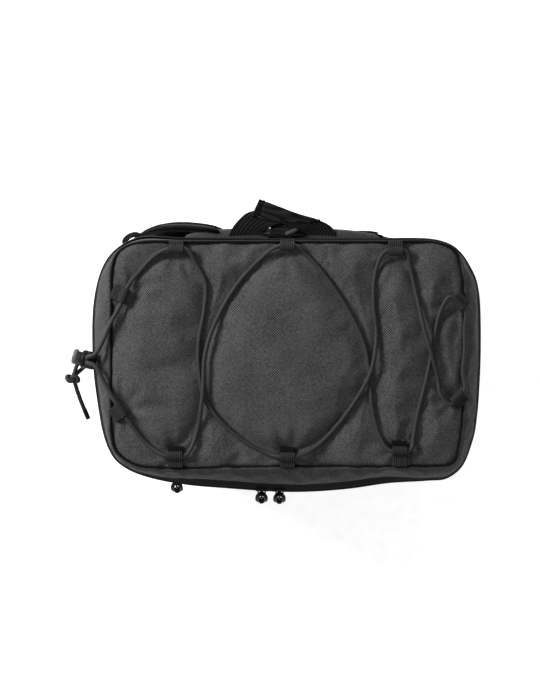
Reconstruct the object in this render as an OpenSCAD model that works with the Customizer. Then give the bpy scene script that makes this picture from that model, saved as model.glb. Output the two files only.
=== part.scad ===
// Upright sports backpack with a zip-open lid, a bungee lattice across the lid, a haul
// handle, padded shoulder straps and a front pocket. Millimetres, +Z up, the front faces -Y,
// the back with the straps faces +Y. The origin is the centre of the base's underside.

/* [Body] */
// Width of the body across X
body_w = 386; // [360:1:410]
// Depth of the body at its sides
body_d = 234; // [225:1:245]
// How far the front bulges in the middle
front_bulge = 16; // [12:1:20]
// Height of the body up to the main zip
body_h = 440; // [420:1:480]
// Radius of the body's upright corners
body_r = 40; // [32:1:50]
// Thickness of the foam-backed fabric walls
wall = 4; // [3:0.5:5]

/* [Lid] */
// Width of the flat panel on top of the lid
lid_w = 352; // [340:1:356]
// Depth of the flat panel on top of the lid
lid_d = 224; // [218:1:228]
// How far the panel's centre lies behind the body's centre
lid_back = 9; // [6:1:10]
// Radius of the panel's corners
lid_r = 18; // [12:1:24]
// Height of the lid above the main zip
lid_h = 40; // [34:1:44]
// Diameter of the piping round the panel
piping_d = 4; // [3:0.5:4]

/* [Bungee] */
// Diameter of the shock cord
cord_d = 4.4; // [3:0.2:5]
// Width of the webbing loops that hold the cord
loop_w = 15; // [12:1:17]
// Thickness of the loops' webbing
loop_t = 1.6; // [1:0.1:1.8]
// Diameter of the cord lock's barrel
lock_d = 18; // [16:0.5:20]
// Length of the cord lock's barrel
lock_l = 15; // [14:0.5:18]
// Diameter of the cord lock's button
button_d = 15; // [12:0.5:17]

/* [Zips] */
// Width of each zip tape that shows
tape_w = 10; // [8:1:12]
// Thickness of the zip tape
tape_t = 1.2; // [0.8:0.1:1.4]
// How far the zip's teeth stand out from the wall
teeth_out = 2.6; // [2:0.1:3]
// Width of a zip slider
slider_w = 12; // [10:1:14]

/* [Front pocket] */
// Width of the front pocket
pocket_w = 250; // [200:1:280]
// Height of the pocket's zip above the base
pocket_zip_h = 401; // [390:1:404]

/* [Carrying] */
// Width of a shoulder strap's pad
strap_w = 60; // [50:1:62]
// Thickness of a shoulder strap's pad
strap_t = 10; // [8:1:10]
// Width of the webbing below the shoulder straps
web_w = 25; // [20:1:25]
// Thickness of the haul handle's webbing
handle_t = 4; // [3:0.5:4]

/* [Hidden] */

// Gap left between pieces that touch on the real object
gap = 0.3;
// Sections of a swept cord
cord_sides = 8;

back = (body_d + front_bulge) / 2;
front = -back;
half_w = body_w / 2;
// Straight half-width of the front and back between the corners
flat_w = half_w - body_r;
// The front is an arc about a centre far behind the object
front_r = (flat_w * flat_w + front_bulge * front_bulge) / (2 * front_bulge);
arc_y = front + front_r;
arc_fn = 720;
wall_top = body_h - 3;

// Lid levels
lid_base = body_h + 3;
panel_t = 4;
panel_top = body_h + lid_h;
panel_z = panel_top - panel_t;

// Zip levels
teeth_h = 1.4;
zip_gap = 0.1;
// The zip stops short of the back
zip_back = 95;
hinge_w = 280;

// Cord loops: the bore's centre [x, y], the outward angle, and how far the tab runs outward
LOOPS = [
    [-111, 114, 90, 5], [0, 117, 90, 3], [108, 112, 90, 7],
    [-112, -91, 270, 8], [0, -92, 270, 7], [112, -86, 270, 12],
    [-163, 68, 158, 9], [-166, -46, 214, 7], [170, 60, 45, 6], [169, -33, 315, 6]];
bore_r = cord_d / 2 + 0.4;
// The tabs lie just above the piping that they cross
loop_lift = 1.2;
bore_z = panel_top + loop_lift + loop_t + bore_r;

// Height of the cord's centre where it lies on the panel, and where it passes over itself
lie_z = panel_top + gap + cord_d / 2;
over_z = lie_z + cord_d + gap;
edge_z = panel_top + loop_lift + cord_d / 2;

// Cord lock: the barrel's middle, and the direction in which the button points
LOCK = [-200, 4, 468];
lock_turn = 165;
button_travel = 4;
button_t = 5;
stem_d = 7;

// The two holes for the cord through the barrel, each side of its middle
hole_out = 2.6;
hole_r = cord_d / 2 + 0.3;

// Cord route: each bore is crossed straight, and the rest are free points between the bores
function through(k, way) = [for (s = [-1, 1])
    [LOOPS[k][0] + way * s * (loop_w / 2 + 3) * sin(LOOPS[k][2]),
     LOOPS[k][1] - way * s * (loop_w / 2 + 3) * cos(LOOPS[k][2]), bore_z]];
CORD = concat(
    [[-216, -12, 460], [-211, 2, 453], [-200, 6.6, 456], [-200, 6.6, 480], [-192, 10, 484]],
    [[-184, 24, 484], [-176, 42, 485]],
    through(6, 1),
    [[-148, 92, lie_z], [-134, 107, lie_z]],
    through(0, 1),
    [[-91, 99, lie_z], [-82, 80, lie_z], [-83, 56, lie_z], [-89, 20, lie_z], [-88, -10, lie_z],
     [-82, -36, lie_z], [-66, -58, lie_z], [-42, -78, lie_z], [-20, -89, lie_z]],
    through(4, -1),
    [[28, -83, lie_z], [50, -61, lie_z], [69, -35, lie_z], [81, -13, over_z], [86, 4, over_z],
     [89, 30, lie_z], [86, 60, lie_z], [88, 92, lie_z]],
    through(2, 1),
    [[122, 99, lie_z], [128, 72, lie_z], [136, 36, over_z], [144, 8, over_z], [150, -14, lie_z],
     [153, -31, 484]],
    through(9, -1),
    [[175, -8, edge_z], [177, 14, edge_z], [177, 36, edge_z]],
    through(8, -1),
    [[152, 50, lie_z], [146, 22, lie_z], [139, -14, lie_z], [130, -50, lie_z], [126, -72, lie_z]],
    through(5, 1),
    [[92, -72, lie_z], [84, -40, lie_z], [82, -8, lie_z], [75, 24, lie_z], [57, 60, lie_z],
     [36, 90, lie_z], [18, 110, lie_z]],
    through(1, -1),
    [[-28, 104, lie_z], [-50, 80, lie_z], [-66, 54, lie_z], [-78, 26, over_z],
     [-83, 4, over_z], [-84, -20, over_z], [-86, -42, over_z], [-90, -66, lie_z]],
    through(3, 1),
    [[-140, -80, lie_z]],
    through(7, 1),
    [[-182, -20, 485], [-192, -2, 484], [-200, 1.4, 480], [-200, 1.4, 456], [-208, -5, 452],
     [-217, -13, 452]]);
// The knotted tail below the knot
TAIL = [[-217, -18, 452], [-216, -30, 446], [-210, -42, 438], [-204, -54, 428]];
KNOT = [-217, -15, 456];

// Where the sliders are parked, in degrees round the front's arc
slider_left_at = -2;
slider_right_at = -0.6;
pocket_slider_at = -8.8;
slider_h = 11;
slider_t = 2.4;
bridge_out = 4.4;
bar_r = 1;
ring_r = 3;

// Shoulder straps: centrelines from the yoke down to the buckle
PAD_LEFT = [[-67, 134, 404], [-84, 139, 403], [-104, 141, 392], [-121, 138, 366],
    [-132, 134, 330], [-141, 133, 270], [-146, 133, 210], [-149, 133, 160]];
PAD_RIGHT = [[71, 134, 374], [73, 134, 335], [79, 134, 300], [92, 133, 264], [114, 133, 230],
             [135, 133, 200], [144, 133, 160]];
web_y = 130;
web_t = 1.6;
web_low = 46;
buckle_z = 144;
mesh_t = 1.4;

// Outlines --------------------------------------------------------------------------------

module rounded(w, d, r) {
    square([w - 2 * r, d], center = true);
    square([w, d - 2 * r], center = true);
    for (x = [-1, 1], y = [-1, 1])
        translate([x * (w / 2 - r), y * (d / 2 - r)]) circle(r, $fn = 64);
}

// The front's arc, out to the given distance from the wall, between the front corners
module front_arc(grow) {
    intersection() {
        translate([0, arc_y]) circle(front_r + grow, $fn = arc_fn);
        translate([-flat_w, front - wall - grow]) square([2 * flat_w, body_d / 2]);
    }
}

// The body's outline, grown outward by the given distance
module outline(grow) {
    translate([0, back - body_d / 2])
        rounded(body_w + 2 * grow, body_d + 2 * grow, body_r + grow);
    front_arc(grow);
}

// A band round the body's outline, from `inner` outside it to `outer` outside it
module band(inner, outer) {
    difference() {
        outline(outer);
        outline(inner);
    }
}

// The band's front and sides, which the main zip follows
module zip_band(inner, outer) {
    difference() {
        band(inner, outer);
        translate([-body_w, zip_back]) square([2 * body_w, body_d]);
    }
}

module slab(low, high) {
    translate([0, 0, low]) linear_extrude(high - low) children();
}

// A round bead along a rounded rectangle whose centreline has the given size
module bead(w, d, r, bead_d) {
    for (x = [-1, 1], y = [-1, 1])
        translate([x * (w / 2 - r), y * (d / 2 - r)])
            rotate([0, 0, x > 0 ? (y > 0 ? 0 : 270) : (y > 0 ? 90 : 180)])
                rotate_extrude(angle = 90, $fn = 64) translate([r, 0]) circle(bead_d / 2, $fn = 16);
    for (s = [-1, 1]) {
        translate([-w / 2 + r, s * d / 2]) rotate([0, 90, 0])
            cylinder(w - 2 * r, d = bead_d, $fn = 16);
        translate([s * w / 2, d / 2 - r]) rotate([90, 0, 0])
            cylinder(d - 2 * r, d = bead_d, $fn = 16);
    }
}

// Sweeps ----------------------------------------------------------------------------------

function unit(v) = v / norm(v);
function tangent(p, i) = unit(p[min(i + 1, len(p) - 1)] - p[max(i - 1, 0)]);
// A ring of n points round point i of path p, with up as the ring's reference direction
function ring(p, i, r, n, up) = let (
    t = tangent(p, i),
    a = unit(cross(t, up)),
    b = cross(a, t))
    [for (k = [0:n - 1]) p[i] + r * (cos(360 * (k + 0.5) / n) * a + sin(360 * (k + 0.5) / n) * b)];
// A flat section w across and t thick, whose thickness faces along +Y
function flat_ring(p, i, w, t) = let (
    d = tangent(p, i),
    a = unit(cross(d, [0, 1, 0])),
    b = cross(a, d),
    e = t / 3)
    [for (c = [[w / 2, -t / 2 + e], [w / 2, t / 2 - e], [w / 2 - e, t / 2], [-w / 2 + e, t / 2],
               [-w / 2, t / 2 - e], [-w / 2, -t / 2 + e], [-w / 2 + e, -t / 2],
               [w / 2 - e, -t / 2]]) p[i] + c[0] * a + c[1] * b];

module skin(rings) {
    n = len(rings[0]);
    last = len(rings) - 1;
    polyhedron(
        points = [for (r = rings) each r],
        faces = concat(
            [[for (k = [n - 1:-1:0]) k]],
            [for (i = [0:last - 1], k = [0:n - 1])
                [i * n + k, i * n + (k + 1) % n, (i + 1) * n + (k + 1) % n, (i + 1) * n + k]],
            [[for (k = [0:n - 1]) last * n + k]]),
        convexity = 10);
}

module tube(p, d) {
    skin([for (i = [0:len(p) - 1]) ring(p, i, d / 2, cord_sides,
        abs(tangent(p, i)[2]) > 0.8 ? [0, 1, 0] : [0, 0, 1])]);
}

module ribbon(p, w, t) {
    skin([for (i = [0:len(p) - 1]) flat_ring(p, i, w, t)]);
}

// Body ------------------------------------------------------------------------------------

module base_panel() {
    color([0.17, 0.17, 0.18]) slab(0, wall) outline(0);
}

module base_board() {
    color([0.1, 0.1, 0.11]) slab(wall + gap, wall + gap + 3)
        translate([0, back - body_d / 2]) rounded(body_w - 30, body_d - 36, body_r - 10);
}

module front_panel() {
    color([0.2, 0.2, 0.21]) slab(wall, wall_top) intersection() {
        band(-wall, 0);
        translate([-flat_w, front]) square([2 * flat_w, body_d / 2]);
    }
}

module back_panel() {
    color([0.12, 0.12, 0.13])
        translate([-flat_w, back - wall, wall]) cube([2 * flat_w, wall, wall_top - wall]);
}

module side_panel(side) {
    color([0.2, 0.2, 0.21]) slab(wall, wall_top) intersection() {
        band(-wall, 0);
        translate([side > 0 ? flat_w : -flat_w - body_w, -body_d]) square([body_w, 2 * body_d]);
    }
}

module base_piping() {
    color([0.06, 0.06, 0.06]) slab(wall, wall + piping_d) band(gap, piping_d);
}

module body_zip_tape() {
    color([0.05, 0.05, 0.05])
        slab(body_h - 1.6 - tape_w, body_h - 1.6) zip_band(0.1, tape_t);
}

module body_zip_teeth() {
    color([0.04, 0.04, 0.04])
        slab(body_h - zip_gap - teeth_h, body_h - zip_gap) zip_band(0, teeth_out);
}

module hinge_binding() {
    color([0.05, 0.05, 0.05])
        translate([-hinge_w / 2, back, body_h - 14]) cube([hinge_w, tape_t, 13]);
}

module back_foam() {
    color([0.3, 0.3, 0.32]) translate([-150, back - wall - gap - 8, 10]) cube([300, 8, 416]);
}

module frame_sheet() {
    color([0.85, 0.85, 0.85]) translate([-148, back - wall - 2 * gap - 10, 12])
        cube([296, 2, 412]);
}

// A cushion on the back, w wide, from z low to z high, t thick
module cushion(x, w, low, high, t, r) {
    translate([x, back + t + gap, (low + high) / 2]) rotate([90, 0, 0])
        linear_extrude(t) rounded(w, high - low, r);
}

module back_pad(side) { color([0.13, 0.13, 0.14]) cushion(side * 32, 50, 120, 372, 3, 16); }

module lumbar_pad() { color([0.13, 0.13, 0.14]) cushion(0, 200, 48, 104, 6, 20); }

module yoke_pad() {
    color([0.22, 0.22, 0.23]) translate([0, back + 14, 0]) rotate([90, 0, 0])
        linear_extrude(12)
            polygon([[-58, 428], [-58, 386], [114, 386], [112, 412], [102, 424], [92, 428]]);
}

module handle_anchors() {
    color([0.06, 0.06, 0.06]) for (x = [-56, 16])
        translate([x, back + gap, 396]) cube([x < 0 ? 29 : 34, 1.4, 30]);
}

module corner_tab() {
    color([0.06, 0.06, 0.06]) difference() {
        translate([-164, back + gap, 428]) cube([18, 1.6, 8]);
        translate([-155, back + 3, 432]) rotate([90, 0, 0]) cylinder(4, r = 1.5, $fn = 24);
    }
}

module strap_tabs() {
    color([0.06, 0.06, 0.06]) for (side = [-1, 1])
        translate([0, back + 3 + gap, 0]) rotate([90, 0, 0]) linear_extrude(3)
            polygon([[side * 166, 16], [side * 166, 42], [side * 141, 42], [side * 126, 16]]);
}

// Front pocket ----------------------------------------------------------------------------

// The pocket's profile as [outward from the wall, z], outside and inside
POCKET_OUT = [[0, 392], [4, 392], [11, 310], [19, 200], [21, 140], [16, 98], [0, 92]];
POCKET_IN = [[0, 95], [14, 101], [18, 140], [16, 200], [8, 309], [2, 386], [0, 387]];

// Turns its children, which are drawn at the middle of the front, round the front's arc
module on_front(angle) {
    translate([0, arc_y, 0]) rotate([0, 0, angle]) translate([0, -arc_y, 0]) children();
}

// A profile drawn as [outward from the wall, z], swept w wide along the front from `angle`
module along_front(angle, w) {
    translate([0, arc_y, 0]) rotate([0, 0, angle - 90])
        rotate_extrude(angle = w / front_r * 180 / PI, $fn = arc_fn)
            translate([front_r, 0]) children();
}

pocket_from = -pocket_w / 2 / front_r * 180 / PI;

module pocket_panel() {
    color([0.2, 0.2, 0.21]) along_front(pocket_from, pocket_w)
        polygon(concat(POCKET_OUT, POCKET_IN));
}

module pocket_gusset() {
    color([0.2, 0.2, 0.21]) for (s = [0, 1])
        along_front(s > 0 ? -pocket_from - 3 / front_r * 180 / PI : pocket_from, 3)
            polygon(POCKET_IN);
}

module pocket_zip_tape() {
    color([0.05, 0.05, 0.05]) along_front(pocket_from, pocket_w)
        translate([0, pocket_zip_h - 7]) square([tape_t, 14]);
}

module pocket_zip_teeth() {
    color([0.04, 0.04, 0.04]) along_front(pocket_from, pocket_w)
        translate([tape_t, pocket_zip_h - teeth_h]) square([teeth_out - tape_t, 2 * teeth_h]);
}

// Lid -------------------------------------------------------------------------------------

module lid_outline(inset) {
    translate([0, lid_back]) rounded(lid_w - 2 * inset, lid_d - 2 * inset, lid_r - inset);
}

module lid_panel() { color([0.2, 0.2, 0.21]) slab(panel_z, panel_top) lid_outline(0); }

module lid_shell(inset) {
    hull() {
        slab(lid_base - (inset > 0 ? 1 : 0), lid_base + 0.1)
            outline(-inset);
        slab(panel_z - 0.1, panel_z + (inset > 0 ? 1 : 0)) lid_outline(inset);
    }
}

module lid_boxing() {
    color([0.19, 0.19, 0.2]) difference() {
        lid_shell(0);
        lid_shell(wall);
    }
}

module lid_piping() {
    color([0.06, 0.06, 0.06]) translate([0, lid_back, panel_top - 1])
        bead(lid_w + piping_d + gap, lid_d + piping_d + gap, lid_r + piping_d / 2, piping_d);
}

module lid_zip_tape() {
    color([0.05, 0.05, 0.05])
        slab(body_h + 1.6, body_h + 1.6 + tape_w) zip_band(0.2, tape_t);
}

module lid_zip_teeth() {
    color([0.04, 0.04, 0.04])
        slab(body_h + zip_gap, body_h + zip_gap + teeth_h) zip_band(0, teeth_out);
}

// Bungee ----------------------------------------------------------------------------------

// A webbing loop folded round the cord, with its tab running outward to the seam
module cord_loop(k) {
    tab = LOOPS[k][3];
    color([0.07, 0.07, 0.07])
        translate([LOOPS[k][0], LOOPS[k][1], bore_z]) rotate([0, 0, LOOPS[k][2]])
            rotate([90, 0, 0]) translate([0, 0, -loop_w / 2]) linear_extrude(loop_w)
                difference() {
                    union() {
                        circle(bore_r + loop_t, $fn = 48);
                        translate([0, -bore_r - loop_t])
                            square([bore_r + loop_t + tab, 2 * loop_t]);
                    }
                    circle(bore_r, $fn = 48);
                }
}

module bungee_cord() {
    color([0.05, 0.05, 0.05]) tube(CORD, cord_d);
}

module cord_knot() {
    color([0.05, 0.05, 0.05]) {
        translate(KNOT) sphere(6, $fn = 32);
        tube(concat([KNOT], TAIL), cord_d);
    }
}

// Places its children on the cord lock's axis, with +Z pointing out of the button's end
module on_lock() {
    translate(LOCK) rotate([0, 0, lock_turn]) rotate([0, 90, 0]) children();
}

module cord_lock_barrel() {
    color([0.08, 0.08, 0.08]) difference() {
        on_lock() translate([0, 0, -lock_l / 2]) cylinder(lock_l, d = lock_d, $fn = 48);
        on_lock() translate([0, 0, 1])
            cylinder(lock_l, d = stem_d + 0.8, $fn = 48);
        for (s = [-1, 1]) translate([LOCK[0], LOCK[1] + s * hole_out, LOCK[2] - lock_d])
            cylinder(2 * lock_d, r = hole_r, $fn = 32);
    }
}

module cord_lock_button() {
    color([0.6, 0.6, 0.6]) on_lock() {
        translate([0, 0, lock_l / 2 + button_travel + 0.5]) cylinder(button_t, d = button_d, $fn = 48);
        translate([0, 0, lock_l / 2 - 0.3])
            cylinder(button_travel + 1, d = stem_d, $fn = 48);
    }
}

// Zip sliders and pulls -------------------------------------------------------------------

// A slider lying on a zip at height z, just outside the teeth
module slider(angle, z) {
    face = front - teeth_out - gap;
    color([0.05, 0.05, 0.05]) on_front(angle) {
        translate([-slider_w / 2, face - slider_t, z - slider_h / 2])
            cube([slider_w, slider_t, slider_h]);
        for (s = [-1, 1]) translate([s * 3.6 - 0.7, face - slider_t - bridge_out - 1, z - 1.4])
            cube([1.4, bridge_out + 1, 2.8]);
        translate([-3.6, face - slider_t - bridge_out, z]) rotate([0, 90, 0])
            cylinder(7.2, r = bar_r, $fn = 24);
    }
}

// A pull hanging from a slider's bar, with a loop of thin cord at its end
module pull(angle, z, length) {
    y = front - teeth_out - gap - slider_t - bridge_out;
    color([0.06, 0.06, 0.06]) on_front(angle) translate([0, y, z]) {
        rotate([0, 90, 0]) translate([0, 0, -2]) difference() {
            cylinder(4, r = ring_r, $fn = 32);
            translate([0, 0, -1]) cylinder(6, r = bar_r + 0.3, $fn = 32);
        }
        difference() {
            translate([-3, -1, -length]) cube([6, 2, length - ring_r + 0.4]);
            translate([0, 2, 3 - length]) rotate([90, 0, 0]) cylinder(4, r = 1.5, $fn = 24);
        }
    }
}

// Haul handle -----------------------------------------------------------------------------

module haul_handle() {
    color([0.06, 0.06, 0.06]) translate([0, 0, 430]) linear_extrude(handle_t)
        polygon([[-56, 128], [-57, 135], [-50, 145], [-42, 150], [-33, 154], [-27, 165], [-18, 160],
            [-6, 156], [6, 151], [20, 146], [31, 144], [40, 140], [46, 136], [51, 128],
            [16, 128], [12, 132], [3, 138], [-8, 141], [-16, 139], [-20, 134], [-27, 128]]);
}

// Shoulder straps -------------------------------------------------------------------------

module strap_pad(path) { color([0.2, 0.2, 0.21]) ribbon(path, strap_w, strap_t - mesh_t); }

// The mesh facing on the side of the pad that lies against the wearer
module strap_mesh(path) {
    color([0.05, 0.05, 0.05])
        ribbon([for (p = path) p + [0, strap_t / 2 + 3 * gap, 0]], strap_w - 8, mesh_t);
}

// A ladder-lock buckle at the pad's lower end
module strap_buckle(x) {
    color([0.06, 0.06, 0.06]) translate([x, web_y + 2, buckle_z]) rotate([90, 0, 0])
        linear_extrude(4) difference() {
            square([web_w + 8, 22], center = true);
            for (s = [-1, 1]) translate([0, s * 5]) square([web_w + 1, 5], center = true);
        }
}

module strap_webbing(x_high, x_low) {
    color([0.07, 0.07, 0.07])
        ribbon([[x_high, web_y, buckle_z - 12.5], [(x_high + x_low) / 2, web_y, 90],
            [x_low, web_y, web_low]], web_w, web_t);
}

// Nodes -----------------------------------------------------------------------------------

base_panel();
base_board();
front_panel();
back_panel();
side_panel(-1);  // side_panel_left
side_panel(1);  // side_panel_right
base_piping();
body_zip_tape();
body_zip_teeth();
hinge_binding();
back_foam();
frame_sheet();
back_pad(-1);  // back_pad_left
back_pad(1);  // back_pad_right
lumbar_pad();
yoke_pad();
handle_anchors();
corner_tab();
strap_tabs();
pocket_panel();
pocket_gusset();
pocket_zip_tape();
pocket_zip_teeth();
lid_panel();
lid_boxing();
lid_piping();
lid_zip_tape();
lid_zip_teeth();
for (k = [0:len(LOOPS) - 1])
    cord_loop(k);
bungee_cord();
cord_knot();
cord_lock_barrel();
cord_lock_button();
slider(slider_left_at, body_h);  // main_slider_left
pull(slider_left_at, body_h, 24);  // main_pull_left
slider(slider_right_at, body_h);  // main_slider_right
pull(slider_right_at, body_h, 24);  // main_pull_right
slider(pocket_slider_at, pocket_zip_h);  // pocket_slider
pull(pocket_slider_at, pocket_zip_h, 22);  // pocket_pull
haul_handle();
strap_pad(PAD_LEFT);  // strap_pad_left
strap_mesh(PAD_LEFT);  // strap_mesh_left
strap_buckle(-150);  // strap_buckle_left
strap_webbing(-150, -154);  // strap_webbing_left
strap_pad(PAD_RIGHT);  // strap_pad_right
strap_mesh(PAD_RIGHT);  // strap_mesh_right
strap_buckle(146);  // strap_buckle_right
strap_webbing(146, 154);  // strap_webbing_right
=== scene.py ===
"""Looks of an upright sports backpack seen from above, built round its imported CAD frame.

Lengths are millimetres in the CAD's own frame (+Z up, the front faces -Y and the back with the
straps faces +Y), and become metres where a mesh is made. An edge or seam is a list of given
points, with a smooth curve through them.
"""

import math

import bmesh
import bpy
import numpy as np
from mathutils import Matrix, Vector, noise
from mathutils.geometry import delaunay_2d_cdt


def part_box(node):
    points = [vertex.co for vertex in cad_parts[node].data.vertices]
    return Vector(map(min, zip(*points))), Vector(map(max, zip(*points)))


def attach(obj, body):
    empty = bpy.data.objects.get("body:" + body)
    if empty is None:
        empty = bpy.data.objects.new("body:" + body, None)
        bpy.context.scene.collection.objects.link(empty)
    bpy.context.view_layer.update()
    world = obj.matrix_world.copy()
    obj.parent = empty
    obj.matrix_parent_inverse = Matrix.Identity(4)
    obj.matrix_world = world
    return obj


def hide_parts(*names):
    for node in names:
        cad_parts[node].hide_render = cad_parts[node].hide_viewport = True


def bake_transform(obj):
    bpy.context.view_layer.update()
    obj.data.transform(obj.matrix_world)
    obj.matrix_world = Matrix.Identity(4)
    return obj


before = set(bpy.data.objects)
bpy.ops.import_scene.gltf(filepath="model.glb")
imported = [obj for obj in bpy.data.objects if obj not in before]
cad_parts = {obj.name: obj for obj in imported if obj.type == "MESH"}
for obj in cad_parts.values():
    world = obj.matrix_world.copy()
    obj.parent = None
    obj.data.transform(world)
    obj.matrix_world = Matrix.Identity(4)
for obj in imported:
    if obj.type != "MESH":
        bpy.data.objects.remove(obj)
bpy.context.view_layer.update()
MM = 0.001
FRAMES = 18  # steps of each cloth simulation

# Levels from the frame
panel_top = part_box("lid_panel")[1].z / MM
zip_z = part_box("lid_zip_teeth")[0].z / MM
back_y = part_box("back_panel")[1].y / MM

# Camera and studio ---------------------------------------------------------------------------

scene = bpy.context.scene
scene.view_settings.view_transform = "Standard"

camera_data = bpy.data.cameras.new("camera")
camera_data.sensor_fit = "VERTICAL"
camera_data.sensor_width = 36
camera_data.sensor_height = 36
camera_data.lens = 102.86
camera = bpy.data.objects.new("camera", camera_data)
camera.location = (-0.0175, 0.014, 2.48)  # straight above the lid, 2 m away
scene.collection.objects.link(camera)
scene.camera = camera

world = bpy.data.worlds.new("studio")
scene.world = world
world.use_nodes = True
world.node_tree.nodes["Background"].inputs["Color"].default_value = (1, 1, 1, 1)
world.node_tree.nodes["Background"].inputs["Strength"].default_value = 0.27


def area_light(name, place, size, power):
    """A soft square light that points at the lid."""
    data = bpy.data.lights.new(name, "AREA")
    data.size = size
    data.energy = power
    light = bpy.data.objects.new(name, data)
    light.location = place
    light.rotation_mode = "QUATERNION"
    light.rotation_quaternion = (Vector((0, 0, 0.3)) - Vector(place)).to_track_quat("-Z", "Y")
    scene.collection.objects.link(light)


area_light("key", (-1.35, 0.75, 1.3), 0.55, 42)
area_light("fill", (0.9, -1.6, 2.4), 2.0, 12)
area_light("back_fill", (0.4, 2.4, 1.2), 1.8, 12)

# Geometry helpers ----------------------------------------------------------------------------


def unit(v):
    """Vectors scaled to length 1."""
    return v / np.maximum(np.linalg.norm(v, axis=-1, keepdims=True), 1e-9)


def ease(t):
    """0 to 1 with a soft start and end."""
    t = np.clip(t, 0, 1)
    return t * t * (3 - 2 * t)


def even(points, step, closed=False):
    """Points about every `step` mm along a polyline. A closed one ends just before its start."""
    gaps = np.linalg.norm(np.diff(points, axis=0), axis=1)
    along = np.concatenate([[0], np.cumsum(gaps)])
    count = max(2, round(along[-1] / step) + 1)
    at = np.linspace(0, along[-1], count)
    if closed:
        at = at[:-1]
    return np.column_stack([np.interp(at, along, c) for c in points.T])


def smooth(points, closed=False, fine=16):
    """A centripetal Catmull-Rom curve through the points, with `fine` points in each stretch."""
    p = np.asarray(points, float)
    if closed:
        p = np.vstack([p[-1], p, p[0], p[1]])
    else:
        p = np.vstack([2 * p[0] - p[1], p, 2 * p[-1] - p[-2]])
    made = []
    for a, b, c, d in zip(p, p[1:], p[2:], p[3:]):
        t1 = np.linalg.norm(b[:3] - a[:3]) ** 0.5
        t2 = t1 + np.linalg.norm(c[:3] - b[:3]) ** 0.5
        t3 = t2 + np.linalg.norm(d[:3] - c[:3]) ** 0.5
        t = np.linspace(t1, t2, fine, endpoint=False)[:, None]
        ab = (t1 - t) / t1 * a + t / t1 * b
        bc = (t2 - t) / (t2 - t1) * b + (t - t1) / (t2 - t1) * c
        cd = (t3 - t) / (t3 - t2) * c + (t - t2) / (t3 - t2) * d
        abc = (t2 - t) / t2 * ab + t / t2 * bc
        bcd = (t3 - t) / (t3 - t1) * bc + (t - t1) / (t3 - t1) * cd
        made.append((t2 - t) / (t2 - t1) * abc + (t - t1) / (t2 - t1) * bcd)
    return np.vstack([*made, p[-2][None]])


def curve(points, step, closed=False):
    """A smooth curve through the points, with a point about every `step` mm."""
    return even(smooth(points, closed), step, closed)


def distance(points, line):
    """How far each point is from a polyline."""
    best = np.full(len(points), 1e9)
    for p, q in zip(line, line[1:]):
        d = q - p
        t = np.clip((points - p) @ d / max(d @ d, 1e-9), 0, 1)
        best = np.minimum(best, np.linalg.norm(points - p - t[:, None] * d, axis=1))
    return best


def inside(points, outline):
    """Whether each flat point is inside a closed outline."""
    x, y = points.T
    odd = np.zeros(len(points), bool)
    for (ax, ay), (bx, by) in zip(outline, np.roll(outline, -1, axis=0)):
        crosses = (ay > y) != (by > y)
        odd ^= crosses & (x < (bx - ax) * (y - ay) / ((by - ay) or 1e-9) + ax)
    return odd


def ripple(points, size):
    """Smooth repeatable noise from -1 to 1 whose bumps are about `size` mm across."""
    return np.array([noise.noise(Vector(p) / size) for p in points])


def make(name, points, faces, material, uvs):
    """A mesh object in metres from points in mm, with one "weave" UV in metres per face corner."""
    mesh = bpy.data.meshes.new(name)
    mesh.from_pydata((np.asarray(points) * MM).tolist(), [], faces)
    layer = mesh.uv_layers.new(name="weave")
    layer.data.foreach_set("uv", (np.asarray(uvs) * MM).ravel())
    mesh.materials.append(material)
    mesh.shade_smooth()
    obj = bpy.data.objects.new(name, mesh)
    scene.collection.objects.link(obj)
    return obj


def outward(obj):
    """Turns a closed mesh's faces outward."""
    shape = bmesh.new()
    shape.from_mesh(obj.data)
    bmesh.ops.recalc_face_normals(shape, faces=shape.faces)
    shape.to_mesh(obj.data)
    shape.free()
    return obj


def grid(name, rows, material, around=False, ends=False):
    """A mesh through rows of points. `around` joins each row's end to its start, and `ends`
    closes the first and last rows."""
    rows = np.asarray(rows, float)
    n, m = rows.shape[:2]
    wrapped = np.concatenate([rows, rows[:, :1]], axis=1) if around else rows
    steps = np.linalg.norm(np.diff(wrapped, axis=1), axis=2)
    u = np.concatenate([np.zeros((n, 1)), np.cumsum(steps, axis=1)], axis=1)
    u -= u[:, -1:] / 2
    climbs = np.linalg.norm(np.diff(rows, axis=0), axis=2).mean(axis=1)
    v = np.concatenate([[0], np.cumsum(climbs)])
    faces, uvs = [], []
    for i in range(n - 1):
        for j in range(m if around else m - 1):
            k = (j + 1) % m
            faces.append((i * m + j, i * m + k, (i + 1) * m + k, (i + 1) * m + j))
            uvs += [(u[i, j], v[i]), (u[i, j + 1], v[i])]
            uvs += [(u[i + 1, j + 1], v[i + 1]), (u[i + 1, j], v[i + 1])]
    if ends:
        faces += [tuple(range(m)), tuple(range((n - 1) * m, n * m))]
        uvs += [(0, 0)] * (2 * m)
    obj = make(name, rows.reshape(-1, 3), faces, material, uvs)
    return outward(obj) if ends else obj


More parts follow.
